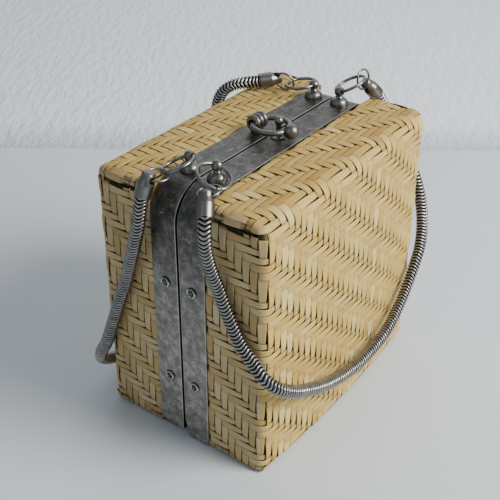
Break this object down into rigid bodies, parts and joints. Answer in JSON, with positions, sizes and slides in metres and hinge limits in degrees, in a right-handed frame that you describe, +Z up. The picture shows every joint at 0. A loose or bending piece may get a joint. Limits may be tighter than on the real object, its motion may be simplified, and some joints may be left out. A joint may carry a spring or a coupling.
{
  "type": "basket_box_bag",
  "caption": "Woven bamboo box bag in two hinged halves with riveted metal bands, a ring clasp on top and snake chain handles",
  "frame": {"origin": "bottom centre of the closed box, on the seam between its halves", "axes": "+X along the seam to the right seen from the front, +Y to the rear half, +Z up"},
  "size_m": [0.1796, 0.1333, 0.167],
  "materials": {
    "bamboo": "plain straw coloured strips, satin",
    "band_metal": "dull, scratched, darkened",
    "fitting_metal": "worn polish, darkened in the hollows",
    "chain_metal": "worn polish, dark between the scales"
  },
  "bodies": {
    "rear_half": {"rear_basket": "bamboo", "rear_frame": "band_metal", "rear_rivets": "band_metal", "rear_hinge_leaf": "band_metal", "hinge_pin": "fitting_metal", "rear_hinge_rivets": "band_metal", "clasp_knuckle": "fitting_metal", "rear_left_stud": "fitting_metal", "rear_right_stud": "fitting_metal", "rear_left_ring": "fitting_metal", "rear_right_ring": "fitting_metal", "rear_left_link": "fitting_metal", "rear_right_link": "fitting_metal", "rear_left_cap": "fitting_metal", "rear_right_cap": "fitting_metal", "rear_chain": "chain_metal"},
    "front_half": {"front_basket": "bamboo", "front_frame": "band_metal", "front_rivets": "band_metal", "front_hinge_leaf": "band_metal", "front_hinge_rivets": "band_metal", "clasp_post": "fitting_metal", "front_left_stud": "fitting_metal", "front_right_stud": "fitting_metal", "front_left_ring": "fitting_metal", "front_right_ring": "fitting_metal", "front_left_link": "fitting_metal", "front_right_link": "fitting_metal", "front_left_cap": "fitting_metal", "front_right_cap": "fitting_metal", "front_chain": "chain_metal"},
    "clasp": {"clasp_ring": "fitting_metal"}
  },
  "joints": [
    {"name": "shell_hinge", "type": "hinge", "parent": "rear_half", "child": "front_half", "pos_m": [0, 0, 0.0032], "axis": [1, 0, 0], "range_deg": [0, 90]},
    {"name": "clasp_lift", "type": "hinge", "parent": "rear_half", "child": "clasp", "pos_m": [0, 0.008, 0.1565], "axis": [-1, 0, 0], "range_deg": [0, 170]}
  ]
}
